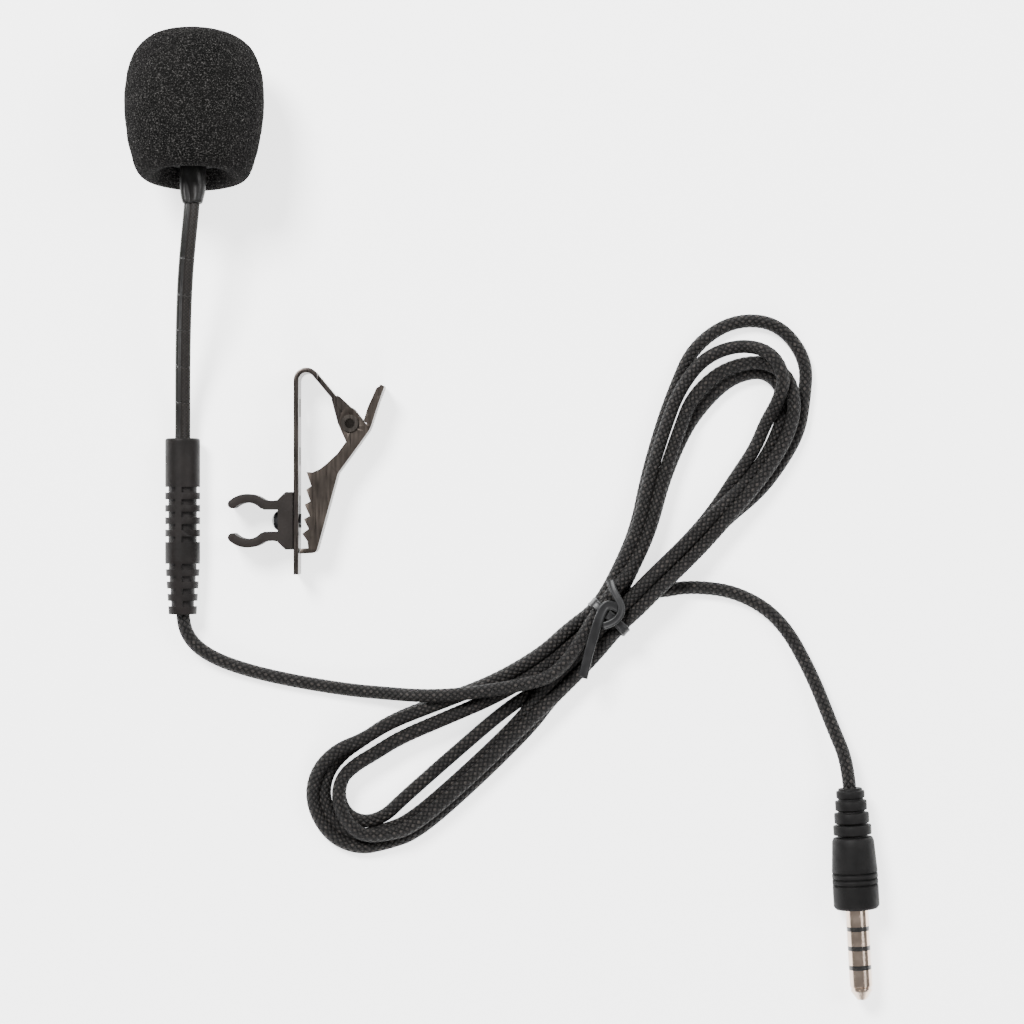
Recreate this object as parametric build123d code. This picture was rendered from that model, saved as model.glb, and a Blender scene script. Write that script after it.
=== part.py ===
from build123d import *
import math
import os

os.makedirs("parts", exist_ok=True)

# A lavalier microphone lying on a table: +Z up, +Y towards the foam windscreen.
# The origin is on the table, under the middle of the microphone and its clip.

# ---- driving dimensions, millimetres ----
NECK_R = 1.15            # bendable stem, outer radius
WIRE_R = 0.45            # stay wire inside the stem
NECK_GAP = 0.08          # play between a stem section's dome and the next one's socket
NECK_RIM = 0.7           # a socket starts this far beyond its pivot
CABLE_R = 1.05           # braided cable
GRIP_R = 2.7             # rubber handle, plain stretch
GRIP_TAIL_R = 2.15       # rubber handle, cable end
GRIP_LEN = 27.3
HOUSING_R = 4.0          # capsule housing inside the foam
HOUSING_BORE_R = 3.4
CAN_R = 3.0              # microphone capsule can
FOAM_R = 10.7
FOAM_LEN = 22.6
FOAM_LOW = 3.4           # the foam's mouth, this far up the head's axis from its base
FOAM_BORE_R = 4.15
FOAM_MOUTH_R = 5.9
SHEET = 0.75             # thickness of the clip's steel strip
CLIP_W = 6.2             # width of the clip's strip
LEVER_W = 5.5            # width over the lever's side walls
WALL = 0.6               # thickness of the lever's and the arm's side walls
RIVET_R = 1.0            # hollow pivot rivet
FORK_BORE_R = 2.8        # holder fork, grips the rubber handle
FORK_WALL = 1.35
FORK_W = 5.6
JACK_R = 1.75            # 3.5 mm plug shaft
JACK_LEN = 14.1

# ---- places ----
GRIP_TOP = Vector(-11.65, -17.6, GRIP_R)
PIVOTS = [
    Vector(-11.6, -14.6, 2.95),
    Vector(-11.45, -9.2, 4.35),
    Vector(-11.15, -3.8, 6.6),
    Vector(-10.75, 1.6, 9.1),
    Vector(-10.25, 7.0, 11.4),
    Vector(-9.6, 12.4, 13.0),
]
HEAD_BASE = Vector(-8.93, 18.2, 13.48)
HEAD_DIP = 10            # degrees that the head points down towards the table
HEAD_AXIS = Vector(0, math.cos(math.radians(HEAD_DIP)), -math.sin(math.radians(HEAD_DIP)))
CLIP_X = 6.2             # middle of the clip's strip
CLIP_TAIL_Y = -38.7
CLIP_CORNER_Y = -4.3     # where the strip's line meets the diagonal arm's line
PIVOT = (14.47, -15.37)  # clip hinge
FORK_CENTRE = (-1.34, -30.4)
FORK_Z = 3.1
PLUG_TOP = Vector(91.9, -71.84, 3.55)
PLUG_AXIS = Vector(0.0565, -0.9984, 0)
LEAD_IN = [
    (-11.65, -43.35, GRIP_R),
    (-11.65, -46.35, GRIP_R),
    (-10.4, -49.1, 2.3),
    (-8.1, -51.1, 1.8),
    (-4.3, -52.9, 1.3),
    (2.4, -54.8, 1.05),
    (13.2, -56.7, 1.05),
    (25.0, -57.4, 2.4),
]
LEAD_OUT = [
    (61.5, -42.3, 1.3),
    (67.0, -40.6, 1.15),
    (74.6, -41.4, 1.05),
    (81.4, -45.6, 1.05),
    (86.2, -54.2, 1.3),
    (89.4, -62.7, 2.6),
    tuple(PLUG_TOP - PLUG_AXIS * 3.6),
    tuple(PLUG_TOP + PLUG_AXIS * 2.9),
]


# ---- helpers ----
def save(name, shape):
    export_step(shape, f"parts/{name}.step")


def rod(start, end, radius):
    line = end - start
    cylinder = Cylinder(radius, line.length, align=(Align.CENTER, Align.CENTER, Align.MIN))
    return Plane(origin=start, z_dir=line) * cylinder


def ball(centre, radius):
    return Pos(centre.X, centre.Y, centre.Z) * Sphere(radius)


def disc(radius, low, high, bore=0):
    """A round plate or tube about local Z from low to high."""
    shape = Pos(0, 0, low) * Cylinder(radius, high - low, align=(Align.CENTER, Align.CENTER, Align.MIN))
    if bore:
        shape -= Pos(0, 0, low) * Cylinder(bore, high - low, align=(Align.CENTER, Align.CENTER, Align.MIN))
    return shape


def slab(outline, low, high):
    """An outline in the table's plane, raised from low to high."""
    return Pos(0, 0, low) * extrude(outline, high - low, dir=(0, 0, 1))


def polygon(points):
    return make_face(Polyline(*points, close=True))


def corner_radii(points):
    """The largest radius each corner of a cord's route allows."""
    radii = []
    for before, here, after in zip(points, points[1:], points[2:]):
        turn = (here - before).get_angle(after - here)
        run = min((here - before).length, (after - here).length)
        radii.append(0.45 * run / math.tan(math.radians(turn / 2)))
    return radii


def cord(points, radius):
    route = [Vector(*p) for p in points]
    radii = corner_radii(route)
    path = FilletPolyline(*route, radius=radii)
    tube = sweep(Plane(origin=path @ 0, z_dir=path % 0) * Circle(radius), path)
    print("cord radii", [round(r, 1) for r in radii], "length", round(path.length, 1))
    print("cord volume ratio", round(tube.volume / (math.pi * radius**2 * path.length), 4))
    return tube


# ---- microphone head: pieces about the head's axis, measured up from HEAD_BASE ----
head = Plane(origin=HEAD_BASE, x_dir=(1, 0, 0), z_dir=HEAD_AXIS)
capsule = Plane(origin=HEAD_BASE + HEAD_AXIS * 2, x_dir=(1, 0, 0), z_dir=HEAD_AXIS)


def foam_windscreen():
    low = FOAM_LOW
    high = low + FOAM_LEN
    side = ThreePointArc((8.9, low + 3), (FOAM_R, low + 11.2), (8.7, high - 3.2))
    crown = ThreePointArc((8.7, high - 3.2), (6.6, high - 0.9), (3, high)) + Line((3, high), (0, high))
    rim = ThreePointArc((FOAM_MOUTH_R, low), (7.9, low + 0.6), (8.9, low + 3))
    mouth = Line((FOAM_BORE_R, low + 3.4), (FOAM_MOUTH_R, low))
    bore = Polyline((0, high), (0, low + 16.4), (FOAM_BORE_R, low + 16.4), (FOAM_BORE_R, low + 3.4))
    profile = make_face(side + crown + bore + mouth + rim)
    return head * revolve(Plane.XZ * profile, Axis.Z)


def head_housing():
    shell = disc(HOUSING_R, 4.0, 17.0, HOUSING_BORE_R)
    back = disc(HOUSING_R, 4.0, 5.2, 2.05)
    return capsule * (shell + back)


def head_grille():
    plate = disc(HOUSING_BORE_R, 16.2, 17.0)
    holes = [Pos(x, y, 16) * Cylinder(0.45, 4) for x, y in [(0, 0)] + ring_places(6, 1.6)]
    return capsule * (plate - holes)


def ring_places(count, radius):
    angles = [2 * math.pi * i / count for i in range(count)]
    return [(radius * math.cos(a), radius * math.sin(a)) for a in angles]


def capsule_can():
    front = disc(CAN_R, 15.2, 15.5, 0.6)
    wall = disc(CAN_R, 10.5, 15.2, CAN_R - 0.25)
    return capsule * (front + wall)


def capsule_leads():
    leads = [Pos(x, 0, 5.6) * Cylinder(0.3, 5.0, align=(Align.CENTER, Align.CENTER, Align.MIN)) for x in (-0.7, 0.7)]
    return capsule * (leads[0] + leads[1])


inner_r = CAN_R - 0.25
save("foam_windscreen", foam_windscreen())
save("head_housing", head_housing())
save("head_grille", head_grille())
save("dust_screen", capsule * disc(HOUSING_BORE_R, 15.9, 16.2))
save("capsule_can", capsule_can())
save("capsule_diaphragm", capsule * (disc(inner_r, 14.6, 15.2, 2.3) + disc(2.3, 14.6, 14.7)))
save("capsule_backplate", capsule * (disc(inner_r, 13.9, 14.3, 0.4)))
save("capsule_support_ring", capsule * disc(inner_r, 11.1, 13.9, 2.2))
save("capsule_board", capsule * disc(inner_r, 10.6, 11.1))
save("capsule_gasket", capsule * disc(HOUSING_BORE_R, 11.4, 14.2, CAN_R))
save("capsule_leads", capsule_leads())
save("neck_collar", head * disc(2.05, 0, 7.2, NECK_R))


# ---- bendable stem: sections with a dome at one end and a socket at the other ----
def section(start, end, reach=None):
    """One section; reach is where the last one carries on along the head's axis."""
    along = (end - start).normalized()
    body = rod(start + along * NECK_RIM, end, NECK_R) + ball(end, NECK_R)
    if reach:
        body += rod(end, reach, NECK_R)
    body -= ball(start, NECK_R + NECK_GAP)
    wire = rod(start + along * 2, end - along * 0.4, WIRE_R)
    return body - wire, wire


def stem_root():
    inside = GRIP_TOP - Vector(0, 11, 0)
    body = rod(inside, GRIP_TOP, NECK_R) + ball(GRIP_TOP, NECK_R) + rod(GRIP_TOP, PIVOTS[0], NECK_R)
    body += ball(PIVOTS[0], NECK_R)
    wire = rod(inside, GRIP_TOP - Vector(0, 1, 0), WIRE_R)
    return body - wire, wire


ends = PIVOTS[1:] + [HEAD_BASE]
stem = [stem_root()]
stem += [section(a, b, HEAD_BASE + HEAD_AXIS * 6.8 if b is HEAD_BASE else None) for a, b in zip(PIVOTS, ends)]
for number, (body, wire) in enumerate(stem):
    save(f"neck_section_{number}", body)
    save(f"neck_wire_{number}", wire)

# ---- rubber handle, splice and the cable's held end, about the handle's axis ----
grip = Plane(origin=GRIP_TOP, x_dir=(1, 0, 0), z_dir=(0, -1, 0))
SLOT = 0.88
SLOT_PITCH = 1.92
SLOT_ROWS = [8.0 + i * SLOT_PITCH for i in range(5)] + [19.9 + i * SLOT_PITCH for i in range(4)]
SPINE_TURN = 8
SLOT_DEPTH = 0.5
TAPER_START = 19           # where the handle starts to narrow towards the cable


def grip_boot():
    profile = make_face(Polyline((0, 0), (GRIP_R, 0), (GRIP_R, TAPER_START), (GRIP_TAIL_R, GRIP_LEN), (0, GRIP_LEN), close=True))
    boot = revolve(Plane.XZ * profile, Axis.Z)
    boot = fillet(boot.edges().filter_by(GeomType.CIRCLE).group_by(Axis.Z)[0], 0.4)
    boot -= disc(NECK_R, 0, 9)
    boot -= disc(1.6, 9, 15)
    boot -= disc(CABLE_R, 15, GRIP_LEN)
    spine = Rot(0, 0, SPINE_TURN) * Box(1.0, 8, SLOT * 2)
    for row in SLOT_ROWS:
        narrowing = max(row - TAPER_START, 0) / (GRIP_LEN - TAPER_START)
        skin = GRIP_R - (GRIP_R - GRIP_TAIL_R) * narrowing
        ring = disc(4, row - SLOT / 2, row + SLOT / 2, skin - SLOT_DEPTH)
        boot -= ring - Pos(0, 0, row) * spine
    return grip * boot


save("grip_boot", grip_boot())
save("splice_ferrule", grip * (disc(1.6, 9.2, 14.8, NECK_R)))
save("cable_root", grip * disc(CABLE_R, 11.2, GRIP_TOP.Y - LEAD_IN[0][1]))

# ---- the free cable: lead-in from the handle, the tied hank, lead-out to the plug ----
HANK_LOW = 4.4           # height of the hank's two loops
HANK_HIGH = 6.6          # height of its tied waist
WAIST = (55.0, -45.6)
WAIST_TURN = 47          # degrees from +X to the hank's long axis
HANK_OUTLINE = [
    (51.6, -43.7), (55.2, -38.4), (58.5, -30.0), (61.0, -19.4), (64.0, -9.5), (69.8, -1.0),
    (78.1, 2.2), (84.4, -2.0), (86.0, -11.0), (83.6, -20.6), (75.0, -32.0), (63.0, -42.0),
    (56.8, -47.6), (51.5, -54.0), (40.7, -65.5), (26.7, -79.2), (19.0, -82.2), (10.8, -80.0),
    (7.7, -73.8), (13.0, -65.2), (27.7, -56.2), (41.0, -50.8),
]
UPPER_OPENING = [(61.8, -36.2), (65.2, -24.0), (70.8, -12.2), (76.5, -8.2), (79.2, -10.5), (76.0, -19.0)]
LOWER_OPENING = [
    (38.0, -58.8), (31.5, -66.0), (25.0, -71.6), (16.8, -75.8), (14.4, -73.0), (17.0, -69.3), (22.5, -65.3), (30.0, -61.8),
]


def loose_outline(points, low, high):
    return slab(make_face(Spline(*points, periodic=True)), low, high)


def cable_hank():
    loops = loose_outline(HANK_OUTLINE, 0, HANK_LOW)
    for opening in (UPPER_OPENING, LOWER_OPENING):
        loops -= loose_outline(opening, -1, HANK_LOW + 1)
    waist = Pos(*WAIST) * Rot(0, 0, WAIST_TURN) * SlotOverall(15, 6.4)
    return loops + slab(waist, 0.3, HANK_HIGH)


def twist_tie():
    """The ribbon round the hank's waist, its long end and its short end."""
    band = Box(1.5, 7.8, 7.3) - Box(3, 6.5, 6.2)
    band = Pos(WAIST[0], WAIST[1], 3.65) * Rot(0, 0, WAIST_TURN) * band
    long_end = Pos(52.9, -49.2, 7.05) * Rot(0, 0, 73) * Box(11.5, 1.5, 0.5)
    short_end = Pos(56.2, -43.3, 7.05) * Rot(0, 0, 100) * Box(5.5, 1.3, 0.5)
    return band + long_end + short_end


save("cable_lead_in", cord(LEAD_IN, CABLE_R))
save("cable_lead_out", cord(LEAD_OUT, CABLE_R))
save("cable_hank", cable_hank())
save("twist_tie", twist_tie())

# ---- 3.5 mm plug: pieces about its axis, measured from the cable end ----
plug = Plane(origin=PLUG_TOP, z_dir=PLUG_AXIS)
BARREL = (7.6, 18.7)
RIBS = [(0.4, 1.5, 2.2), (1.9, 3.4, 2.45), (3.8, 5.4, 2.7), (5.7, 7.2, 2.95)]
JACK_END = BARREL[1] + JACK_LEN
FIRST_GAP = JACK_END - 5.05   # middles of the three insulating rings
GAP_PITCH = 3.0
GAP_HALF = 0.35


def plug_boot():
    core = revolve(
        Plane.XZ * make_face(Polyline((0, 0), (1.85, 0), (2.3, BARREL[0]), (0, BARREL[0]), close=True)), Axis.Z
    )
    barrel_profile = Polyline(
        (0, BARREL[0]), (3.0, BARREL[0]), (3.25, 8.2), (3.55, 13), (3.55, 18.2), (3.2, BARREL[1]), (0, BARREL[1]), close=True
    )
    boot = core + revolve(Plane.XZ * make_face(barrel_profile), Axis.Z)
    for low, high, radius in RIBS:
        boot += disc(radius, low, high)
    for groove in (13.0, 13.9, 14.8):
        boot -= disc(4, groove, groove + 0.25, 3.4)
    boot -= disc(CABLE_R, 0, 3.0)
    boot -= disc(2.4, 9, BARREL[1])
    boot -= disc(0.9, 3.0, 9)
    return plug * boot


def contact(bore, tube, back, low, high):
    """A contact ring flush with the shaft, on the tube that carries it back."""
    return plug * (disc(JACK_R, low, high, bore) + disc(tube, back, low, bore))


def plug_tip(low):
    neck = disc(0.45, 15.0, low)
    outline = Polyline(
        (0, low), (JACK_R, low), (JACK_R, JACK_END - 2.1), (1.55, JACK_END - 1.9), (1.55, JACK_END - 1.6),
        (1.7, JACK_END - 1.4), (0.7, JACK_END), (0, JACK_END), close=True,
    )
    return plug * (neck + revolve(Plane.XZ * make_face(outline), Axis.Z))


gaps = [FIRST_GAP - i * GAP_PITCH for i in range(3)]
edges = [(g - GAP_HALF, g + GAP_HALF) for g in gaps]
save("plug_boot", plug_boot())
save("plug_tip", plug_tip(edges[0][1]))
save("plug_insulator_1", contact(0.45, 0.7, 15.4, *edges[0]))
save("plug_ring_1", contact(0.7, 0.9, 15.8, edges[1][1], edges[0][0]))
save("plug_insulator_2", contact(0.9, 1.1, 16.2, *edges[1]))
save("plug_ring_2", contact(1.1, 1.3, 16.6, edges[2][1], edges[1][0]))
save("plug_insulator_3", contact(1.3, 1.5, 17.0, *edges[2]))
sleeve = disc(JACK_R, BARREL[1], edges[2][0], 1.5) + disc(2.4, 17.4, BARREL[1], 1.5)
save("plug_sleeve", plug * sleeve)
save("plug_core", plug * (disc(2.4, 9, 14.6, 0.9) + disc(0.9, 3.0, 14.6)))

# ---- clip: folded spring-steel strip, sprung jaw, hollow rivet and handle fork ----
MID_Z = CLIP_W / 2
LEVER_LOW = MID_Z - LEVER_W / 2
ARM_W = LEVER_W - 2 * WALL - 0.2      # the arm fits between the lever's walls
ARM_END = (12.35, -11.75)


def clip_base():
    path = FilletPolyline((CLIP_X, CLIP_TAIL_Y), (CLIP_X, CLIP_CORNER_Y), ARM_END, radius=1.6)
    strip = slab(trace(path, SHEET), 0, CLIP_W)
    narrow = slab(polygon([(10.2, -4), (20, -4), (20, -20), (7.4, -20)]), -1, CLIP_W + 1)
    narrow -= slab(polygon([(10.2, -4), (20, -4), (20, -20), (7.4, -20)]), MID_Z - ARM_W / 2, MID_Z + ARM_W / 2)
    strip -= narrow
    ear = polygon([(11.6, -11.6), (12.6, -11.0), (15.2, -13.4), (16.3, -15.37), (15.2, -17.0), (13.6, -17.0), (12.6, -15.4)])
    for low in (MID_Z - ARM_W / 2, MID_Z + ARM_W / 2 - WALL):
        strip += slab(ear, low, low + WALL)
    strip -= Pos(*PIVOT, 0) * Cylinder(RIVET_R, 30)
    for place in (-12.9, -20.4, -27.9):
        strip -= Pos(CLIP_X, place, MID_Z - 0.5) * Box(2, 2.8, 1.8)
    strip -= Pos(CLIP_X, FORK_CENTRE[1], FORK_Z) * Rot(0, 90, 0) * Cylinder(0.8, 3)
    return strip


HANDLE = [(19.5, -9.5), (18.7, -11.6), (17.25, -16.1), (15.0, -19.2), (12.3, -22.9), (9.0, -35.0), (6.8, -35.1)]
TEETH = [(7.8, -22.85), (7.75, -25.6), (7.5, -27.9), (7.4, -30.15), (7.15, -32.4)]
ROOTS = [(8.55, -25.05), (8.4, -27.4), (8.3, -29.65), (8.15, -31.65), (7.95, -33.55)]


def lever_wall():
    jaw = [point for pair in zip(TEETH, ROOTS) for point in pair]
    back = [(8.1, -34.9), (9.0, -35.0), (12.3, -22.9), (12.4, -21.6), (11.0, -21.5), (9.9, -22.4), (8.7, -22.95)]
    cheek = [(13.9, -18.2), (13.35, -17.0), (12.75, -15.6), (13.1, -13.9), (13.9, -12.9), (15.0, -13.0),
             (16.4, -14.8), (17.2, -16.0), (15.0, -19.2)]
    bridge = [(13.9, -18.2), (12.6, -20.0), (11.0, -21.5), (12.4, -21.6), (12.3, -22.9), (15.0, -19.2)]
    return polygon(jaw + back), polygon(bridge), polygon(cheek)


def clip_lever():
    plate = trace(FilletPolyline(*HANDLE, radius=[6, 3, 6, 1.2, 0.5]), SHEET)
    lever = slab(plate, LEVER_LOW, LEVER_LOW + LEVER_W)
    grip_rail = polygon([(19.5, -9.4), (18.6, -9.9), (17.2, -13.0), (16.6, -15.0), (17.4, -15.6), (18.7, -11.6)])
    for low in (LEVER_LOW, LEVER_LOW + LEVER_W - WALL):
        for outline in lever_wall() + (grip_rail,):
            lever += slab(outline, low, low + WALL)
    return lever - Pos(*PIVOT, 0) * Cylinder(RIVET_R + 0.05, 30)


def pivot_rivet():
    low = LEVER_LOW - 0.3
    high = LEVER_LOW + LEVER_W + 0.3
    rivet = disc(RIVET_R, low, high) + disc(1.35, low, low + 0.25) + disc(1.35, high - 0.25, high)
    bore = disc(0.75, -1, MID_Z - 0.4) + disc(0.75, MID_Z + 0.4, 9)
    return Pos(*PIVOT, 0) * (rivet - bore)


def clip_spring():
    wire = 0.2
    coil_r = RIVET_R + 0.4
    helix = Helix(pitch=0.55, height=2.2, radius=coil_r)
    coil = sweep(Plane(origin=helix @ 0, z_dir=helix % 0) * Circle(wire), helix)
    low = MID_Z - 1.1
    spring = Pos(*PIVOT, low) * coil
    start = Vector(PIVOT[0] + coil_r, PIVOT[1], low)
    end = Vector(PIVOT[0] + coil_r, PIVOT[1], low + 2.2)
    spring += rod(start, start + Vector(-0.15, -1.9, 0), wire)
    spring += rod(end, end + Vector(-0.35, 0.9, 0), wire)
    return spring


def holder_fork():
    ring = Circle(FORK_BORE_R + FORK_WALL) - Circle(FORK_BORE_R)
    wedge = polygon([(0, 0), (9 * math.cos(math.radians(42)), 9 * math.sin(math.radians(42))), (0, 9),
                     (9 * math.cos(math.radians(132)), 9 * math.sin(math.radians(132)))])
    upper = ring & wedge
    tip = (FORK_BORE_R + FORK_WALL / 2) * Vector(math.cos(math.radians(132)), math.sin(math.radians(132)))
    upper += Pos(tip.X, tip.Y) * Circle(FORK_WALL / 2)
    upper += polygon([(1.9, 2.15), (2.55, 1.7), (5.2, 1.7), (5.2, 3.3), (4.0, 3.1), (2.9, 3.15), (2.6, 3.3), (2.2, 3.0)])
    body = polygon([(4.7, 0), (4.7, 3.3), (5.9, 4.45), (7.02, 4.45), (7.02, 0)])
    half = upper + body
    shape = half + mirror(half, about=Plane.XZ)
    fork = Pos(*FORK_CENTRE, FORK_Z - FORK_W / 2) * extrude(shape, FORK_W)
    fork -= Pos(FORK_CENTRE[0] + 6, FORK_CENTRE[1], FORK_Z) * Rot(0, 90, 0) * Cylinder(0.85, 3)
    return fork


def holder_rivet():
    face = FORK_CENTRE[0] + 4.7 - 0.05
    dome = Pos(face + 0.66, 0, 0) * Sphere(1.73)
    dome &= Pos(face - 1.5, 0, 0) * Box(3, 8, 8)
    shank = Pos(face, 0, 0) * Rot(0, 90, 0) * disc(0.8, 0, CLIP_X + SHEET / 2 - face)
    tail = Pos(CLIP_X + SHEET / 2, 0, 0) * Rot(0, 90, 0) * disc(1.1, 0, 0.3)
    return Pos(0, FORK_CENTRE[1], FORK_Z) * (dome + shank + tail)


save("clip_base", clip_base())
save("clip_lever", clip_lever())
save("clip_pivot_rivet", pivot_rivet())
save("clip_spring", clip_spring())
save("holder_fork", holder_fork())
save("holder_rivet", holder_rivet())
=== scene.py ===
import math
import bmesh
import bpy
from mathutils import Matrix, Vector, noise


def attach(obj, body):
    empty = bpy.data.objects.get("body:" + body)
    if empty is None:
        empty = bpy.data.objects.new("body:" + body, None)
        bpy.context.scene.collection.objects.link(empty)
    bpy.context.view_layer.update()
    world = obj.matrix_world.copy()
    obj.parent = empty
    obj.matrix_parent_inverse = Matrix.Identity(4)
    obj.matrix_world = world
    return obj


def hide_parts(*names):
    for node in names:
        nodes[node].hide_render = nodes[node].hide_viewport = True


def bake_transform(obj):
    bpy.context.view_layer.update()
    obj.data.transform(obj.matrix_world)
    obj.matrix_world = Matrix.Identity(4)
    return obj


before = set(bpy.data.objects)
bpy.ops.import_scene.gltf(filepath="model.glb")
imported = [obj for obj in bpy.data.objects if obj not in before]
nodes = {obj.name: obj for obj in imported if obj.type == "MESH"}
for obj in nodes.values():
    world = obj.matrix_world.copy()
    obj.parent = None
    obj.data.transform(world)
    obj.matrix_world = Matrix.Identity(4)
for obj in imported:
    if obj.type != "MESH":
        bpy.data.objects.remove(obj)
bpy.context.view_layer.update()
MM = 0.001


def mm(x, y, z):
    return Vector((x, y, z)) * MM


# ---- camera, looking straight down ----
camera = bpy.data.objects.new("camera", bpy.data.cameras.new("camera"))
bpy.context.scene.collection.objects.link(camera)
camera.location = (0.0395, -0.02905, 0.450)
camera.data.lens = 101.25
camera.data.sensor_width = 36
camera.data.clip_start = 0.01
bpy.context.scene.camera = camera

# ---- cord: route points, and the hank's turns from a table of stations ----
CABLE_R = 1.05
LEAD_IN = [
    (-11.65, -43.35, 2.7),
    (-11.65, -46.35, 2.7),
    (-10.4, -49.1, 2.3),
    (-8.1, -51.1, 1.8),
    (-4.3, -52.9, 1.3),
    (2.4, -54.8, 1.05),
    (13.2, -56.7, 1.05),
    (20.5, -57.3, 1.9),
]
OVER_HANK = [
    (25.5, -57.5, 4.5),
    (31.0, -57.3, 5.45),
    (40.0, -56.0, 5.45),
    (47.0, -54.2, 5.6),
]
PITCH = 2.12
UPPER = [
    (54.5, -45.3, 137, (1, 0, 1, 1), (2.15, 1.15, 0.15, 1.15)),
    (58.5, -38.4, 148, (0.25, 0.2, 1.1, 1.1), (1.3, 0.3, 0, 1)),
    (61.1, -31.9, 165, (0.1, 0, 1.05, 0.95), (1, 0, 0, 1)),
    (63.1, -24.1, 167, (0.15, 0, 1.25, 1.1), (1, 0, 0, 1)),
    (66.3, -16.5, 160, (0.4, 0, 1.7, 1.45), (1, 0, 0, 1)),
    (69.2, -12.4, 150, (1.0, 0, 2.36, 2.07), (0.8, 0, 0, 0.9)),
    (72.5, -9.1, 130, (0.95, 0, 3.55, 2.44), (0.7, 0, 0, 0.6)),
    (75.4, -7.6, 100, (0.78, 0, 4.1, 2.2), (0.8, 0, 0, 0.8)),
    (78.5, -7.15, 72, (0.7, 0, 3.8, 1.5), (0.9, 0, 0, 1.9)),
    (81.0, -8.8, 38, (0.75, 0, 2.7, 0.45), (1, 0, 0, 2)),
    (82.1, -11.9, 5, (0.65, 0, 1.4, -0.65), (1, 0, 0, 1.1)),
    (81.3, -15.7, -18, (0.75, 0, 1.45, -1.1), (0.95, 0, 0, 0.1)),
    (79.2, -20.3, -32, (0.6, 0, 1.2, -1.0), (0.95, 0, 0, 0)),
    (76.2, -24.7, -38, (0.5, -0.1, 1.05, -1.0), (1, 0.45, 0, 0)),
    (71.7, -29.8, -43, (0.5, -0.45, 0.5, -0.55), (1, 1, 0, 0)),
    (67.7, -34.3, -45, (0.5, -0.5, 0.5, -0.5), (1.1, 1.1, 0.1, 0.1)),
    (61.0, -40.6, -45, (0.5, -0.5, 0.5, -0.5), (2.1, 2.1, 1.05, 1.05)),
    (58.4, -43.4, -45, (0.48, -0.48, 0.48, -0.48), (1.75, 1.75, 0.75, 0.75)),
]
LOWER = [
    (54.5, -45.3, -43, (1, 0, 1, 1), (2.15, 2.15, 0.15, 1.15)),
    (50.5, -50.5, -43, (0.95, 0, 0.95, 0.05), (1, 1, 0, 0)),
    (44.8, -57.5, -42, (0.5, -0.5, 0.5, -0.6), (1, 0.9, 0, 0)),
    (39.2, -59.2, -43, (1.75, 1.3, 2.2, 0), (1, 0.2, 0, 0)),
    (29.9, -67.2, -48, (2.1, 1.6, 2.6, 0), (0.9, 0, 0, 0)),
    (22.1, -74.1, -62, (2.1, 1.6, 2.65, 0), (0.9, 0, 0, 0)),
    (19.8, -76.4, -85, (1.3, 1.0, 2.0, 0), (1, 0, 0, 0)),
    (16.6, -77.5, -105, (0.9, 1.05, 2.0, 0), (1, 0, 0, 0)),
    (13.6, -76.2, -130, (0.2, 1.1, 2.0, 0), (1, 0, 0, 0)),
    (12.4, -73.2, -165, (0, 1.15, 2.05, 0), (1, 0, 0.2, 0)),
    (13.1, -70.2, 170, (0, 1.2, 2.0, 0), (1, 0, 0.55, 0)),
    (15.4, -68.2, 145, (0, 1.3, 1.85, 0), (1, 0, 0.9, 0)),
    (18.0, -66.7, 125, (0, 1.3, 1.35, 0), (1, 0, 1, 0)),
    (22.1, -64.1, 120, (0, 1.4, 1.35, 0), (1, 0, 1, 0)),
    (29.7, -60.9, 115, (0, 1.25, 1.2, 0), (1, 0, 1, 0)),
    (37.6, -57.5, 113, (0, 1.05, 1.05, 0), (1, 0, 1, 0)),
    (45.4, -52.7, 124, (0, 0.95, 0.95, 0), (1, 0, 1, 0)),
    (49.6, -48.9, 130, (0, 1, 1, 0), (1, 0, 1, 0)),
]
UNDER_HANK = [
    (54.5, -45.3, 1.4),
    (57.3, -42.3, 1.05),
    (59.6, -41.1, 1.05),
]
LEAD_OUT = [
    (62.7, -41.5, 1.05),
    (67.0, -40.6, 1.15),
    (74.6, -41.4, 1.05),
    (81.4, -45.6, 1.05),
    (86.2, -54.2, 1.3),
    (89.4, -62.7, 2.6),
    (91.6966, -68.2458, 3.55),
    (92.0639, -74.7354, 3.55),
]


def turn_point(station, turn):
    """Where one turn of the hank passes a station: x, y, the way outward, then each turn's lane and level."""
    x, y, heading, lanes, levels = station
    out = Vector((math.cos(math.radians(heading)), math.sin(math.radians(heading)), 0))
    return Vector((x, y, CABLE_R + levels[turn] * PITCH)) + out * lanes[turn] * PITCH


def cord_points():
    """The cord's control points from the handle to the plug, in metres."""
    points = [Vector(p) for p in LEAD_IN + OVER_HANK]
    for turn in range(4):
        points += [turn_point(s, turn) for s in UPPER + LOWER]
    points += [Vector(p) for p in UNDER_HANK + LEAD_OUT]
    return [p * MM for p in points]


def spline_line(name, points, steps):
    """The points that a NURBS spline through these control points gives."""
    curve = bpy.data.curves.new(name, "CURVE")
    curve.dimensions = "3D"
    spline = curve.splines.new("NURBS")
    spline.points.add(len(points) - 1)
    for slot, p in zip(spline.points, points):
        slot.co = (p.x, p.y, p.z, 1)
    spline.order_u = 3
    spline.use_endpoint_u = True
    spline.resolution_u = steps
    holder = bpy.data.objects.new(name, curve)
    bpy.context.scene.collection.objects.link(holder)
    bpy.context.view_layer.update()
    line = bpy.data.meshes.new_from_object(holder)
    result = [v.co.copy() for v in line.vertices]
    bpy.data.objects.remove(holder)
    bpy.data.meshes.remove(line)
    return result


cord_path = spline_line("cord_route", cord_points(), 6)


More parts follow.
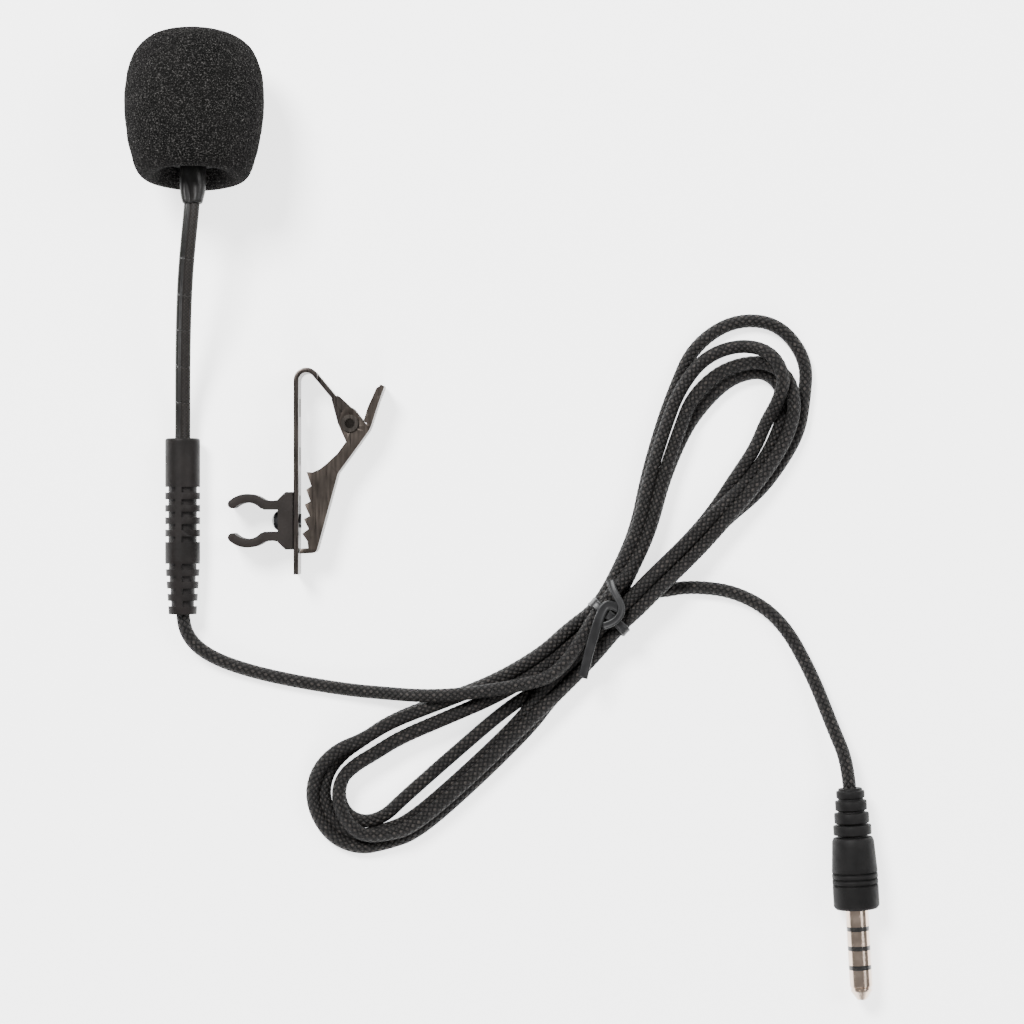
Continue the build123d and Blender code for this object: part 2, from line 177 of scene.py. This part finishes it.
# ---- mesh helpers ----
def loft(name, rings, caps=True, lengths=None):
    """A mesh skinned over rings of equal size, with UVs: u round the ring, v along in metres."""
    count = len(rings[0])
    verts = [p for ring in rings for p in ring]
    if lengths is None:
        lengths = [0.0]
        for a, b in zip(rings, rings[1:]):
            lengths.append(lengths[-1] + (b[0] - a[0]).length)
    faces = []
    corners = []
    for i in range(len(rings) - 1):
        j = i + 1
        for k in range(count):
            m = (k + 1) % count
            faces.append((i * count + k, i * count + m, j * count + m, j * count + k))
            low = lengths[i]
            high = lengths[j]
            corners += [(k / count, low), ((k + 1) / count, low), ((k + 1) / count, high), (k / count, high)]
    if caps:
        faces.append(tuple(reversed(range(count))))
        faces.append(tuple((len(rings) - 1) * count + k for k in range(count)))
        corners += [(k / count, lengths[0]) for k in reversed(range(count))]
        corners += [(k / count, lengths[-1]) for k in range(count)]
    mesh = bpy.data.meshes.new(name)
    mesh.from_pydata([tuple(v) for v in verts], [], faces)
    layer = mesh.uv_layers.new(name="UVMap")
    layer.data.foreach_set("uv", [c for uv in corners for c in uv])
    mesh.polygons.foreach_set("use_smooth", [len(f) == 4 for f in faces])
    mesh.update()
    piece = bpy.data.objects.new(name, mesh)
    bpy.context.scene.collection.objects.link(piece)
    return piece


def travelled(path):
    """Distance along a path at each of its points."""
    total = [0.0]
    for a, b in zip(path, path[1:]):
        total.append(total[-1] + (b - a).length)
    return total


def resample(path, step):
    """Evenly spaced points along a path, about step apart."""
    total = travelled(path)
    count = max(2, round(total[-1] / step))
    result = []
    place = 0
    for i in range(count + 1):
        want = total[-1] * i / count
        while place < len(path) - 2 and total[place + 1] < want:
            place += 1
        span = total[place + 1] - total[place]
        t = (want - total[place]) / span if span > 0 else 0
        result.append(path[place].lerp(path[place + 1], min(max(t, 0), 1)))
    return result


def tangents(path):
    """Unit direction of a path at each of its points."""
    ends = [path[0] * 2 - path[1]] + path + [path[-1] * 2 - path[-2]]
    return [(b - a).normalized() for a, b in zip(ends, ends[2:])]


def frames(path, side):
    """Side and up vectors along a path, carried from the first without twist."""
    result = []
    for direction in tangents(path):
        side = (side - direction * side.dot(direction)).normalized()
        result.append((side, direction.cross(side)))
    return result


def join(name, parts):
    """One object from several meshes that have no materials yet."""
    work = bmesh.new()
    for part in parts:
        work.from_mesh(part.data)
    mesh = bpy.data.meshes.new(name)
    work.to_mesh(mesh)
    work.free()
    for part in parts:
        old = part.data
        bpy.data.objects.remove(part)
        bpy.data.meshes.remove(old)
    piece = bpy.data.objects.new(name, mesh)
    bpy.context.scene.collection.objects.link(piece)
    return piece


# ---- material helpers: small node builders ----
class Look:
    """A Principled material and short calls that add nodes to it."""

    def __init__(self, name, colour=(0.5, 0.5, 0.5), rough=0.5, metal=0.0, **sockets):
        self.material = bpy.data.materials.new(name)
        self.material.use_nodes = True
        self.tree = self.material.node_tree
        self.shader = self.tree.nodes["Principled BSDF"]
        self.set("Base Color", (*colour, 1))
        self.set("Roughness", rough)
        self.set("Metallic", metal)
        for socket, value in sockets.items():
            self.set(socket.replace("_", " "), value)

    def set(self, socket, value):
        target = self.shader.inputs[socket]
        if isinstance(value, bpy.types.NodeSocket):
            self.tree.links.new(value, target)
        else:
            target.default_value = value

    def node(self, kind, out=0, settings=None, **inputs):
        made = self.tree.nodes.new(kind)
        for key, value in (settings or {}).items():
            setattr(made, key, value)
        for key, value in inputs.items():
            socket = made.inputs[int(key[1:])] if key[0] == "i" and key[1:].isdigit() else made.inputs[key]
            if isinstance(value, bpy.types.NodeSocket):
                self.tree.links.new(value, socket)
            else:
                socket.default_value = value
        return made.outputs[out]

    def math(self, operation, a, b=0.0):
        return self.node("ShaderNodeMath", settings={"operation": operation}, i0=a, i1=b)

    def place(self):
        return self.node("ShaderNodeTexCoord", out="Object")

    def noise(self, scale, detail=3.0, rough=0.5, where=None):
        where = where or self.place()
        return self.node("ShaderNodeTexNoise", out="Fac", Vector=where, Scale=scale, Detail=detail, Roughness=rough)

    def ramp(self, value, low, high, out_low=0.0, out_high=1.0):
        made = self.tree.nodes.new("ShaderNodeMapRange")
        self.tree.links.new(value, made.inputs["Value"])
        made.inputs["From Min"].default_value = low
        made.inputs["From Max"].default_value = high
        made.inputs["To Min"].default_value = out_low
        made.inputs["To Max"].default_value = out_high
        return made.outputs["Result"]

    def mix(self, factor, a, b):
        made = self.tree.nodes.new("ShaderNodeMix")
        made.data_type = "RGBA"
        self.tree.links.new(factor, made.inputs["Factor"])
        for socket, value in ((made.inputs[6], a), (made.inputs[7], b)):
            if isinstance(value, bpy.types.NodeSocket):
                self.tree.links.new(value, socket)
            else:
                socket.default_value = (*value, 1)
        return made.outputs[2]

    def bump(self, height, depth, strength=1.0):
        made = self.tree.nodes.new("ShaderNodeBump")
        made.inputs["Strength"].default_value = strength
        made.inputs["Distance"].default_value = depth
        self.tree.links.new(height, made.inputs["Height"])
        self.set("Normal", made.outputs["Normal"])

    def grain(self, light, dark, scale, rough=(0.4, 0.6), depth=0.00002, fine=None):
        """Two mixed tones, uneven roughness and a fine bump: the base of every moulded or drawn surface."""
        patches = self.noise(scale, 4.0)
        self.set("Base Color", self.mix(self.ramp(patches, 0.35, 0.65), dark, light))
        self.set("Roughness", self.ramp(self.noise(scale * 2.3, 3.0), 0.3, 0.7, *rough))
        self.bump(self.noise(fine or scale * 6, 2.0), depth)
        return self


# ---- looks ----
def braid(name, cells, length, gap_shade, yarn, fleck_highlight, depth, rough=0.62):
    """A braided sleeve from the UVs: crossing yarns, over and under, with painted shade in the gaps between yarns
    and painted highlights on some raised yarns.
    """
    look = Look(name, yarn, rough, Specular_IOR_Level=0.22)
    uv = look.node("ShaderNodeTexCoord", out="UV")
    split = look.tree.nodes.new("ShaderNodeSeparateXYZ")
    look.tree.links.new(uv, split.inputs[0])
    around = look.math("MULTIPLY", split.outputs[0], float(cells))
    along = look.math("DIVIDE", split.outputs[1], length)
    left = look.math("ADD", along, around)
    right = look.math("SUBTRACT", along, around)
    parity = look.math("ADD", look.math("FLOOR", left), look.math("FLOOR", right))
    over = look.math("GREATER_THAN", look.math("PINGPONG", parity, 1.0), 0.5)
    wave_left = look.math("SINE", look.math("MULTIPLY", look.math("FRACT", left), math.pi))
    wave_right = look.math("SINE", look.math("MULTIPLY", look.math("FRACT", right), math.pi))
    pillow = look.math("POWER", look.math("MULTIPLY", wave_left, wave_right), 0.7)
    turn_left = look.math("SINE", look.math("MULTIPLY", left, math.pi * 6))
    turn_right = look.math("SINE", look.math("MULTIPLY", right, math.pi * 6))
    strands = look.math("ADD", look.math("MULTIPLY", turn_left, over),
                        look.math("MULTIPLY", turn_right, look.math("SUBTRACT", 1.0, over)))
    height = look.math("ADD", pillow, look.math("MULTIPLY", strands, 0.10))
    joined = look.tree.nodes.new("ShaderNodeCombineXYZ")
    look.tree.links.new(look.math("FLOOR", left), joined.inputs[0])
    look.tree.links.new(look.math("FLOOR", right), joined.inputs[1])
    # painted highlight: randomly picked yarns that lie on top take the lighter fleck colour
    pick = look.node("ShaderNodeTexWhiteNoise", out="Value", Vector=joined.outputs[0])
    lit = look.ramp(pick, 0.2, 1.0)
    tone = look.mix(look.math("MULTIPLY", lit, over), yarn, fleck_highlight)
    # painted shade: the low parts of the braid, between the yarns, take the dark gap colour
    look.set("Base Color", look.mix(look.ramp(height, 0.30, 0.85), gap_shade, tone))
    look.set("Roughness", look.ramp(look.noise(900.0), 0.3, 0.7, rough - 0.08, rough + 0.1))
    look.bump(height, depth, 0.9)
    return look.material


def ringed(name, colour, rough, pitch, depth):
    """Turned metal: fine rings across the object's y axis, and faint smears."""
    look = Look(name, colour, rough, 1.0)
    split = look.tree.nodes.new("ShaderNodeSeparateXYZ")
    look.tree.links.new(look.place(), split.inputs[0])
    rings = look.math("SINE", look.math("MULTIPLY", split.outputs["Y"], 2 * math.pi / pitch))
    smear = look.noise(350.0, 4.0)
    look.set("Base Color", look.mix(look.ramp(smear, 0.35, 0.7), tuple(c * 0.8 for c in colour), colour))
    look.set("Roughness", look.ramp(look.noise(700.0), 0.3, 0.7, rough * 0.75, rough * 1.4))
    look.bump(rings, depth, 0.5)
    return look.material


CABLE_CELLS = 7
CABLE_CELL_LENGTH = 0.00105
# Colours in each braid call: painted gap shade, yarn, painted fleck highlight.
cable_braid = braid("cable_braid_look", CABLE_CELLS, CABLE_CELL_LENGTH, (0.0006, 0.0006, 0.0006),
                    (0.0100, 0.0086, 0.0079), (0.031, 0.0265, 0.024), 0.00020)
neck_braid = braid("neck_braid_look", 13, 0.00055, (0.004, 0.0034, 0.003), (0.0125, 0.0102, 0.0088),
                   (0.018, 0.0145, 0.0125), 0.00004)

foam = Look("foam_look", (0.006, 0.006, 0.006), 1.0, Specular_IOR_Level=0.04)
cells = foam.node("ShaderNodeTexVoronoi", out="Distance", settings={"feature": "DISTANCE_TO_EDGE"},
                  Vector=foam.place(), Scale=2700.0, Randomness=1.0)
holes = foam.ramp(cells, 0.02, 0.30)
# painted highlight: scattered glints lighten the strut colour
glint = foam.ramp(foam.noise(4200.0, 2.0), 0.50, 0.74)
strut = foam.mix(glint, (0.0085, 0.0082, 0.0080), (0.085, 0.081, 0.078))
# painted shade: the hollow of each pore takes a darker mottled colour than the struts
mottled_pore_shade = foam.mix(foam.ramp(foam.noise(160.0, 3.0), 0.35, 0.65), (0.0025, 0.0025, 0.0025), (0.007, 0.0066, 0.0063))
foam.set("Base Color", foam.mix(holes, strut, mottled_pore_shade))
foam.bump(foam.math("SUBTRACT", 1.0, holes), 0.00022, 0.9)
foam_look = foam.material

boot = Look("boot_rubber_look", Specular_IOR_Level=0.12).grain(
    (0.0110, 0.0092, 0.0088), (0.0062, 0.0054, 0.0051), 220.0, (0.42, 0.6), 0.00003).material
plug_rubber = Look("plug_rubber_look", Specular_IOR_Level=0.09).grain(
    (0.0078, 0.0074, 0.0074), (0.0046, 0.0045, 0.0045), 260.0, (0.48, 0.64), 0.000018).material
shrink = Look("heat_shrink_look", Specular_IOR_Level=0.22).grain(
    (0.0075, 0.0070, 0.0066), (0.0042, 0.0040, 0.0039), 420.0, (0.30, 0.46), 0.00003).material
jacket = Look("wire_jacket_look", Specular_IOR_Level=0.45).grain(
    (0.007, 0.0065, 0.006), (0.004, 0.0037, 0.0035), 700.0, (0.32, 0.48), 0.00002).material
fork_plastic = Look("fork_plastic_look", Specular_IOR_Level=0.12).grain(
    (0.0145, 0.0117, 0.0106), (0.0098, 0.0080, 0.0072), 300.0, (0.5, 0.68), 0.00003, 2600.0).material
black_plastic = Look("black_plastic_look", Specular_IOR_Level=0.15).grain(
    (0.010, 0.010, 0.010), (0.006, 0.006, 0.006), 500.0, (0.45, 0.6), 0.00001).material
insulator = Look("insulator_look").grain(
    (0.014, 0.013, 0.012), (0.008, 0.008, 0.008), 600.0, (0.2, 0.32), 0.000006).material
inner_plastic = Look("inner_plastic_look").grain(
    (0.62, 0.60, 0.54), (0.50, 0.48, 0.43), 500.0, (0.4, 0.55), 0.00001).material
gasket = Look("gasket_look").grain(
    (0.05, 0.05, 0.05), (0.03, 0.03, 0.03), 700.0, (0.6, 0.8), 0.00002).material
tie_plastic = Look("tie_plastic_look", Specular_IOR_Level=0.3).grain(
    (0.0105, 0.0105, 0.011), (0.0065, 0.0065, 0.0068), 300.0, (0.34, 0.48), 0.00001).material
rivet_black = Look("rivet_black_look", Coat_Weight=0.6, Coat_Roughness=0.06).grain(
    (0.012, 0.012, 0.013), (0.007, 0.007, 0.008), 500.0, (0.1, 0.2), 0.000004).material


def plated(name, light, dark, rough, scale=240.0, depth=0.000012, worn=None):
    """Plated or painted sheet metal: mottled tone, drawn scratches and brighter worn patches."""
    look = Look(name, light, 0.3, 1.0)
    tone = look.mix(look.ramp(look.noise(scale, 4.0), 0.35, 0.65), dark, light)
    if worn:
        tone = look.mix(look.ramp(look.noise(scale * 1.7, 6.0, 0.7), 0.62, 0.74), tone, worn)
    look.set("Base Color", tone)
    stretched = look.tree.nodes.new("ShaderNodeMapping")
    stretched.inputs["Scale"].default_value = (1, 0.06, 1)
    look.tree.links.new(look.place(), stretched.inputs["Vector"])
    drawn = look.noise(5200.0, 2.0, where=stretched.outputs[0])
    look.set("Roughness", look.ramp(drawn, 0.25, 0.75, rough * 0.8, rough * 1.35))
    look.bump(drawn, depth, 0.3)
    return look.material


gunmetal = plated("gunmetal_look", (0.075, 0.064, 0.058), (0.050, 0.043, 0.040), 0.28, worn=(0.12, 0.105, 0.094))
lever_metal = plated("lever_gunmetal_look", (0.078, 0.065, 0.056), (0.050, 0.042, 0.037), 0.33,
                     worn=(0.12, 0.104, 0.092))
spring_steel = plated("spring_steel_look", (0.42, 0.39, 0.36), (0.28, 0.26, 0.25), 0.25)
rivet_steel = plated("rivet_steel_look", (0.16, 0.14, 0.125), (0.085, 0.075, 0.068), 0.24)
steel_plate = plated("steel_plate_look", (0.55, 0.54, 0.52), (0.45, 0.44, 0.43), 0.28)
aluminium = plated("aluminium_look", (0.78, 0.78, 0.78), (0.68, 0.68, 0.69), 0.26)
brass = plated("brass_look", (0.78, 0.56, 0.25), (0.66, 0.46, 0.19), 0.25)
copper = plated("copper_look", (0.80, 0.42, 0.26), (0.66, 0.33, 0.20), 0.3)
stay_steel = plated("stay_wire_look", (0.52, 0.50, 0.48), (0.40, 0.39, 0.37), 0.3)
nickel = ringed("nickel_look", (0.68, 0.54, 0.44), 0.16, 0.00012, 0.000004)

board = Look("circuit_board_look", rough=0.4)
lines = board.node("ShaderNodeTexBrick", out="Fac", Vector=board.place(), Scale=900.0)
board.set("Base Color", board.mix(lines, (0.02, 0.16, 0.06), (0.55, 0.42, 0.16)))
board.bump(lines, 0.00002, 0.4)
cloth = Look("screen_cloth_look", (0.03, 0.03, 0.03), 0.8)
weave = cloth.node("ShaderNodeTexVoronoi", out="Distance", Vector=cloth.place(), Scale=4200.0, Randomness=0.1)
cloth.set("Base Color", cloth.mix(cloth.ramp(weave, 0.1, 0.5), (0.06, 0.06, 0.06), (0.01, 0.01, 0.01)))
cloth.bump(weave, 0.00004, 0.6)

LOOKS = {
    "head_housing": black_plastic, "head_grille": steel_plate, "dust_screen": cloth.material,
    "capsule_can": aluminium, "capsule_diaphragm": brass, "capsule_backplate": brass,
    "capsule_support_ring": inner_plastic, "capsule_board": board.material, "capsule_gasket": gasket,
    "capsule_leads": copper, "neck_collar": shrink, "grip_boot": boot, "splice_ferrule": brass,
    "cable_root": cable_braid, "plug_boot": plug_rubber, "plug_core": brass, "plug_sleeve": nickel,
    "plug_ring_1": nickel, "plug_ring_2": nickel, "plug_tip": nickel, "plug_insulator_1": insulator,
    "plug_insulator_2": insulator, "plug_insulator_3": insulator, "clip_base": gunmetal,
    "clip_lever": lever_metal, "clip_pivot_rivet": rivet_steel, "clip_spring": spring_steel,
    "holder_fork": fork_plastic, "holder_rivet": rivet_black, "foam_windscreen": foam_look,
    "cable_lead_in": cable_braid, "cable_lead_out": cable_braid, "cable_hank": cable_braid,
    "twist_tie": tie_plastic,
}
for number in range(7):
    LOOKS[f"neck_section_{number}"] = neck_braid
    LOOKS[f"neck_wire_{number}"] = stay_steel
for name, look in LOOKS.items():
    data = nodes[name].data
    data.materials.clear()
    data.materials.append(look)


# ---- the cord: a braided tube along the route ----
def braid_height(along, around, cells, length):
    """How proud the braid stands, 0 to 1, at a distance along and a fraction of a turn around."""
    left = along / length + around * cells
    right = along / length - around * cells
    wave = math.sin(math.pi * (left % 1)) * math.sin(math.pi * (right % 1))
    return max(wave, 0) ** 0.45


def braided_tube(name, path, radius, sides, step, cells, length, relief):
    """A tube along a path with the braid's cells raised by relief, in metres."""
    line = resample(path, step)
    total = travelled(line)
    rings = []
    for point, (side, up), along in zip(line, frames(line, Vector((1, 0, 0))), total):
        ring = []
        for k in range(sides):
            angle = 2 * math.pi * k / sides
            r = radius - relief * (1 - braid_height(along, k / sides, cells, length))
            ring.append(point + side * math.cos(angle) * r + up * math.sin(angle) * r)
        rings.append(ring)
    return loft(name, rings, lengths=total)


cable = braided_tube("cable", cord_path, 1.06 * MM, sides=28, step=0.00026, cells=CABLE_CELLS,
                     length=CABLE_CELL_LENGTH, relief=0.00009)
cable.data.materials.append(cable_braid)
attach(cable, "microphone")
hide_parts("cable_lead_in", "cable_lead_out", "cable_hank")


# ---- the ribbon tie: a band round the waist, a long end and a short end ----
def ribbon(name, points, width, side, steps=10):
    """A flat two-wire ribbon: raised beads along both edges and a thin web between them."""
    line = spline_line(name, points, steps)
    half = width / 2
    bead = 0.22 * MM
    web = 0.16 * MM
    rings = []
    for k, (point, direction) in enumerate(zip(line, tangents(line))):
        across = side(direction, k / (len(line) - 1))
        across = (across - direction * across.dot(direction)).normalized()
        up = direction.cross(across)
        ring = []
        for end in (1, -1):
            for step in range(9):
                angle = math.radians(-125 + step * 250 / 8)
                x = (half - bead) + bead * math.cos(angle)
                ring.append(point + (across * x + up * bead * math.sin(angle)) * end)
            ring.append(point + (across * (half - 2.6 * bead) + up * web) * end)
            ring.append(point + (across * -(half - 2.6 * bead) + up * web) * end)
        rings.append(ring)
    return loft(name, rings)


WAIST_HEIGHT = 3.75
WAIST = mm(54.5, -45.3, WAIST_HEIGHT)
LONG_WAY = Vector((math.cos(math.radians(47)), math.sin(math.radians(47)), 0))
CROSS_WAY = Vector((LONG_WAY.y, -LONG_WAY.x, 0))
UP = Vector((0, 0, 1))


def waist_point(across, height, along=0.0):
    """A point round the hank's waist, in mm: across the strands, above the table, along the strands."""
    return WAIST + CROSS_WAY * across * MM + LONG_WAY * along * MM + UP * (height - WAIST_HEIGHT) * MM


band = ribbon(
    "tie_band",
    [waist_point(-1.2, 7.05, 0.2), waist_point(-3.0, 7.0, 0.1), waist_point(-3.55, 6.0), waist_point(-3.55, 3.5),
     waist_point(-3.5, 1.1, -0.2), waist_point(-2.8, 0.26, -0.2), waist_point(0.0, 0.25, -0.2),
     waist_point(2.8, 0.26, -0.2), waist_point(3.5, 1.1, -0.1), waist_point(3.55, 3.5), waist_point(3.55, 6.0, 0.1),
     waist_point(3.0, 7.0, 0.2), waist_point(1.2, 7.2, 0.25), waist_point(-0.8, 7.3, 0.2)],
    1.5 * MM, lambda direction, t: LONG_WAY)
long_end = ribbon(
    "tie_long_end",
    [mm(56.0, -43.9, 7.6), mm(54.6, -43.2, 7.75), mm(53.6, -43.6, 7.8), mm(52.6, -46.2, 7.75), mm(51.7, -49.3, 7.35),
     mm(50.9, -52.3, 7.05), mm(50.4, -54.6, 6.95)],
    1.45 * MM, lambda direction, t: direction.cross(UP))
short_end = ribbon(
    "tie_short_end",
    [mm(53.4, -46.6, 7.5), mm(54.9, -46.2, 7.75), mm(56.2, -44.9, 7.85), mm(56.35, -43.4, 7.8), mm(55.5, -41.9, 7.6),
     mm(54.9, -40.7, 7.35), mm(54.6, -39.5, 7.0)],
    1.2 * MM, lambda direction, t: direction.cross(UP))
tie = join("ribbon_tie", [band, long_end, short_end])
tie.data.materials.append(tie_plastic)
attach(tie, "microphone")
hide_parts("twist_tie")


# ---- foam windscreen: an open-cell shell round the capsule housing ----
HEAD = mm(-8.93, 18.2, 13.48)
HEAD_AXIS = Vector((0, math.cos(math.radians(10)), -math.sin(math.radians(10))))
HEAD_SIDE = Vector((1, 0, 0))
HEAD_UP = HEAD_SIDE.cross(HEAD_AXIS)


def head_point(r, s, angle):
    """A point round the head's axis: radius and distance along it in mm, and the angle about it."""
    out = HEAD_SIDE * math.cos(angle) + HEAD_UP * math.sin(angle)
    return HEAD + HEAD_AXIS * s * MM + out * r * MM


def catmull_rom(points, count):
    """A smooth line through 2-D profile points."""
    ends = [points[0]] + points + [points[-1]]
    result = []
    for a, b, c, d in zip(ends, ends[1:], ends[2:], ends[3:]):
        for k in range(count):
            t = k / count
            result.append(tuple(
                0.5 * (2 * b[i] + (c[i] - a[i]) * t + (2 * a[i] - 5 * b[i] + 4 * c[i] - d[i]) * t * t
                       + (3 * b[i] - a[i] - 3 * c[i] + d[i]) * t ** 3) for i in range(2)))
    result.append(points[-1])
    return result


FOAM_PROFILE = [
    (4.2, 19.6), (4.2, 12.0), (4.25, 7.2), (4.9, 4.9), (5.9, 3.75), (7.0, 3.55), (8.1, 4.0), (8.95, 5.2), (9.5, 7.0),
    (10.15, 9.9), (10.6, 13.6), (10.6, 17.0), (10.25, 20.0), (9.35, 22.6), (8.0, 24.4), (6.2, 25.4), (4.0, 25.8),
    (2.0, 25.9), (0.25, 25.9),
]
FOAM_SIDES = 220
PORES_PER_METRE = 2000
PORE_DEPTH = 0.12
rings = []
for r, s in catmull_rom(FOAM_PROFILE, 9):
    ring = []
    for k in range(FOAM_SIDES):
        angle = 2 * math.pi * k / FOAM_SIDES
        point = head_point(r, s, angle)
        distances = noise.voronoi(point * PORES_PER_METRE)[0]
        pore = min((distances[1] - distances[0]) / 0.45, 1)
        soft = noise.noise(point * 180) * 0.14 + noise.noise(point * 420) * 0.08
        fade = min(r / 4, 1)
        ring.append(head_point(r - (pore * PORE_DEPTH - soft) * fade, s, angle))
    rings.append(ring)
windscreen = loft("foam_ball", rings, caps=False)
work = bmesh.new()
work.from_mesh(windscreen.data)
work.verts.ensure_lookup_table()
work.faces.new([work.verts[len(work.verts) - FOAM_SIDES + k] for k in range(FOAM_SIDES)])
work.faces.new([work.verts[k] for k in reversed(range(FOAM_SIDES))])
bmesh.ops.recalc_face_normals(work, faces=work.faces)
work.to_mesh(windscreen.data)
work.free()
windscreen.data.materials.append(foam_look)
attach(windscreen, "windscreen")
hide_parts("foam_windscreen")

# ---- stem: the stay wire and the microphone lead side by side, one piece across each joint ----
PIVOTS = [mm(-11.6, -14.6, 2.95), mm(-11.45, -9.2, 4.35), mm(-11.15, -3.8, 6.6), mm(-10.75, 1.6, 9.1),
          mm(-10.25, 7.0, 11.4), mm(-9.6, 12.4, 13.0)]
GRIP_TOP = mm(-11.65, -17.6, 2.7)
stem_route = [GRIP_TOP - mm(0, 3.5, 0), GRIP_TOP] + PIVOTS + [HEAD, HEAD + HEAD_AXIS * 3.5 * MM]
stem_line = spline_line("stem_route", stem_route, 14)


WIRE_LOBE = (0.44, 0.74)
LEAD_LOBE = (-0.68, 0.50)


def two_lobes():
    """Outline of the stem, side by up in mm, with the lobe each point belongs to."""
    outline = []
    for k in range(13):
        angle = math.radians(-138 + 276 * k / 12)
        outline.append((WIRE_LOBE[0] + WIRE_LOBE[1] * math.cos(angle), WIRE_LOBE[1] * math.sin(angle), 0))
    for k in range(11):
        angle = math.radians(38 + 284 * k / 10)
        outline.append((LEAD_LOBE[0] + LEAD_LOBE[1] * math.cos(angle), LEAD_LOBE[1] * math.sin(angle), 1))
    return outline


def nearest(line, point):
    """Index of the path point closest to a point."""
    return min(range(len(line)), key=lambda i: (line[i] - point).length)


fine_stem = resample(stem_line, 0.25 * MM)
stem_frames = frames(fine_stem, Vector((1, 0, 0)))
stops = [0] + [nearest(fine_stem, a.lerp(b, 0.5)) for a, b in zip(PIVOTS, PIVOTS[1:])] + [len(fine_stem) - 1]
stem_total = travelled(fine_stem)
for number, (low, high) in enumerate(zip(stops, stops[1:])):
    rings = []
    for k in range(low, high + 1):
        side, up = stem_frames[k]
        rings.append([fine_stem[k] + (side * x + up * y) * MM for x, y, lobe in two_lobes()])
    piece = loft(f"stem_part_{number + 1}", rings, lengths=stem_total[low:high + 1])
    piece.data.materials.append(neck_braid)
    piece.data.materials.append(jacket)
    lobes = [lobe for x, y, lobe in two_lobes()]
    sides = len(lobes)
    for face in piece.data.polygons:
        if len(face.vertices) == 4:
            face.material_index = 1 if lobes[face.index % sides] and lobes[(face.index + 1) % sides] else 0
    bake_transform(piece)
    if number == 0:
        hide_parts("neck_section_0", "neck_wire_0", "neck_section_1", "neck_wire_1")
    else:
        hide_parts(f"neck_section_{number + 1}", f"neck_wire_{number + 1}")

# ---- collar: heat-shrink sleeve from the two-lobed stem to the housing ----
rings = []
for s, t, size in ((-0.5, 0.0, 1.02), (-0.5, 0.0, 1.28), (0.1, 0.0, 1.42), (0.7, 0.0, 1.54), (1.3, 0.05, 1.64),
                   (2.0, 0.15, 1.68), (2.8, 0.35, 1.70), (3.8, 0.7, 1.72), (4.8, 1.0, 1.72), (6.7, 1.0, 1.72)):
    ring = []
    for x, y, lobe in two_lobes():
        scale = (1 - t) * size + t * 2.03 / math.hypot(x, y)
        lump = 1 + 0.03 * noise.noise(Vector((x, y, s)) * 0.9)
        ring.append(HEAD + HEAD_AXIS * s * MM + (HEAD_SIDE * x + HEAD_UP * y) * scale * lump * MM)
    rings.append(ring)
collar = loft("collar_sleeve", rings)
collar.data.materials.append(shrink)
collar.modifiers.new("smooth", "SUBSURF").levels = 1
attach(collar, "mic_head")
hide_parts("neck_collar")


# ---- softened edges on the moulded and folded CAD pieces ----
def soften(name, width):
    """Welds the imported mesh's seams and rounds its sharp edges by width, in metres."""
    node = nodes[name]
    node.modifiers.new("weld", "WELD").merge_threshold = 1e-6
    bevel = node.modifiers.new("bevel", "BEVEL")
    bevel.width = width
    bevel.segments = 2
    bevel.limit_method = "ANGLE"
    bevel.angle_limit = math.radians(40)
    bevel.use_clamp_overlap = True
    node.modifiers.new("normals", "WEIGHTED_NORMAL").keep_sharp = False


soften("clip_base", 0.00010)
soften("clip_lever", 0.00010)
soften("holder_fork", 0.00022)
soften("grip_boot", 0.00012)
soften("plug_boot", 0.00014)


# ---- plain pale floor and soft studio light ----
FLOOR_LEVEL = -0.00008
floor_mesh = bpy.data.meshes.new("floor")
floor_mesh.from_pydata([(x, y, FLOOR_LEVEL) for x, y in ((-2, -2), (2, -2), (2, 2), (-2, 2))], [], [(0, 1, 2, 3)])
floor = bpy.data.objects.new("floor", floor_mesh)
bpy.context.scene.collection.objects.link(floor)
floor_mesh.materials.append(Look("floor_look", (0.9, 0.9, 0.9), 0.9, Specular_IOR_Level=0.0,
                                 Emission_Color=(1, 1, 1, 1), Emission_Strength=2.2).material)


def lamp(name, place, aim, size, power):
    """A round area lamp turned towards a point."""
    light = bpy.data.lights.new(name, "AREA")
    light.shape = "DISK"
    light.size = size
    light.energy = power
    holder = bpy.data.objects.new(name, light)
    bpy.context.scene.collection.objects.link(holder)
    holder.location = place
    holder.rotation_euler = (Vector(aim) - Vector(place)).to_track_quat("-Z", "Y").to_euler()


lamp("key", (-0.30, 0.42, 0.70), (0.03, -0.02, 0), 0.30, 20.0)
lamp("fill", (0.60, 0.15, 0.60), (0.03, -0.03, 0), 0.5, 5.5)
lamp("low", (0.10, -0.65, 0.45), (0.03, -0.03, 0), 0.3, 3.5)
world = bpy.data.worlds.new("studio")
world.use_nodes = True
world.node_tree.nodes["Background"].inputs["Color"].default_value = (1, 1, 1, 1)
world.node_tree.nodes["Background"].inputs["Strength"].default_value = 0.32
bpy.context.scene.world = world
